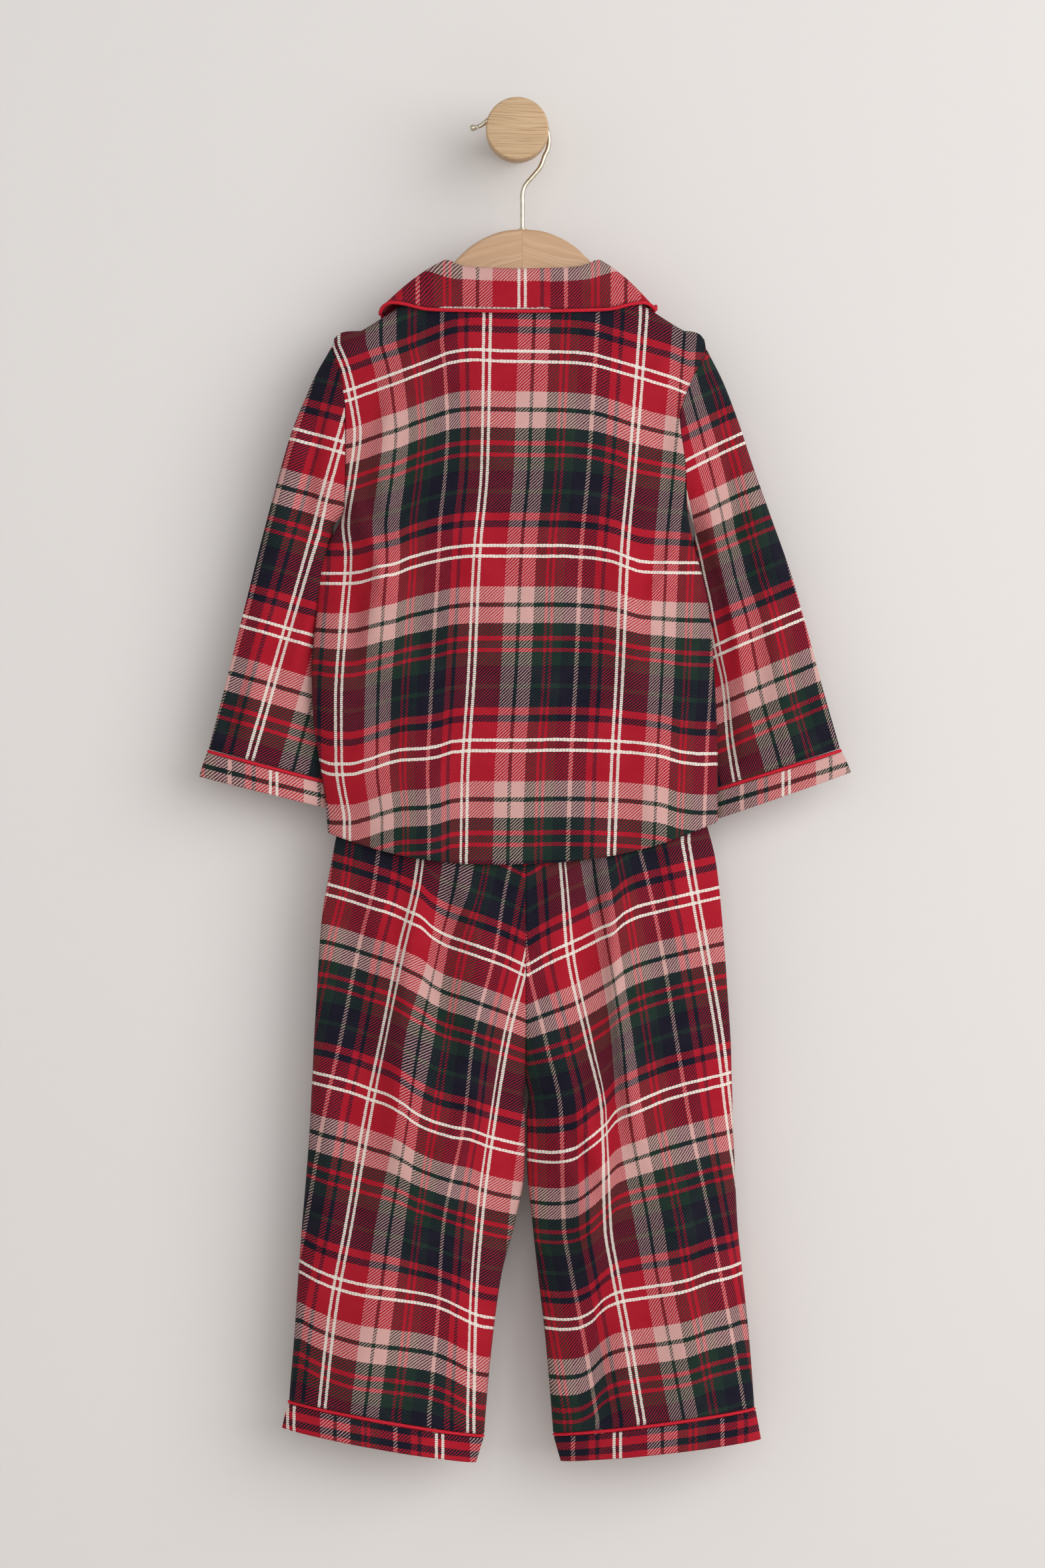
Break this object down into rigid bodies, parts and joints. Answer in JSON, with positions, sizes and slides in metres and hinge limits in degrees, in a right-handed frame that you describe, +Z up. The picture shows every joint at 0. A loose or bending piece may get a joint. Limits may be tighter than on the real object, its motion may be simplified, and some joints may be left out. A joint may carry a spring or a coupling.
{
  "type": "pyjama set on a hanger and wall peg",
  "caption": "Child's checked flannel pyjama top and trousers hung flat on a wooden hanger from a round wall peg.",
  "frame": {"origin": "centre of the peg's flat back face, on the wall", "axes": "+Y into the wall, -Y out towards the wearer's back, +X to the wearer's right, +Z up"},
  "size_m": [0.4608, 0.0674, 0.9593],
  "materials": {
    "flannel": "brushed twill, soft nap",
    "piping": "plain weave cord cover",
    "button": "satin",
    "beech": "matt varnish",
    "hook_metal": "satin nickel",
    "pale_wood": "bare, fine sanded"
  },
  "bodies": {
    "root": {"button_1": "button", "button_2": "button", "button_3": "button", "button_4": "button", "collar": "flannel", "collar_piping": "piping", "hanger_board": "beech", "hanger_hook": "hook_metal", "hook_tip": "hook_metal", "leg_left_back": "flannel", "leg_left_cuff": "flannel", "leg_left_front": "flannel", "leg_left_piping": "piping", "leg_right_back": "flannel", "leg_right_cuff": "flannel", "leg_right_front": "flannel", "leg_right_piping": "piping", "sleeve_left": "flannel", "sleeve_left_cuff": "flannel", "sleeve_left_piping": "piping", "sleeve_right": "flannel", "sleeve_right_cuff": "flannel", "sleeve_right_piping": "piping", "top_back": "flannel", "top_front_left": "flannel", "top_front_right": "flannel", "waistband": "flannel", "wall_peg": "pale_wood"}
  },
  "joints": []
}
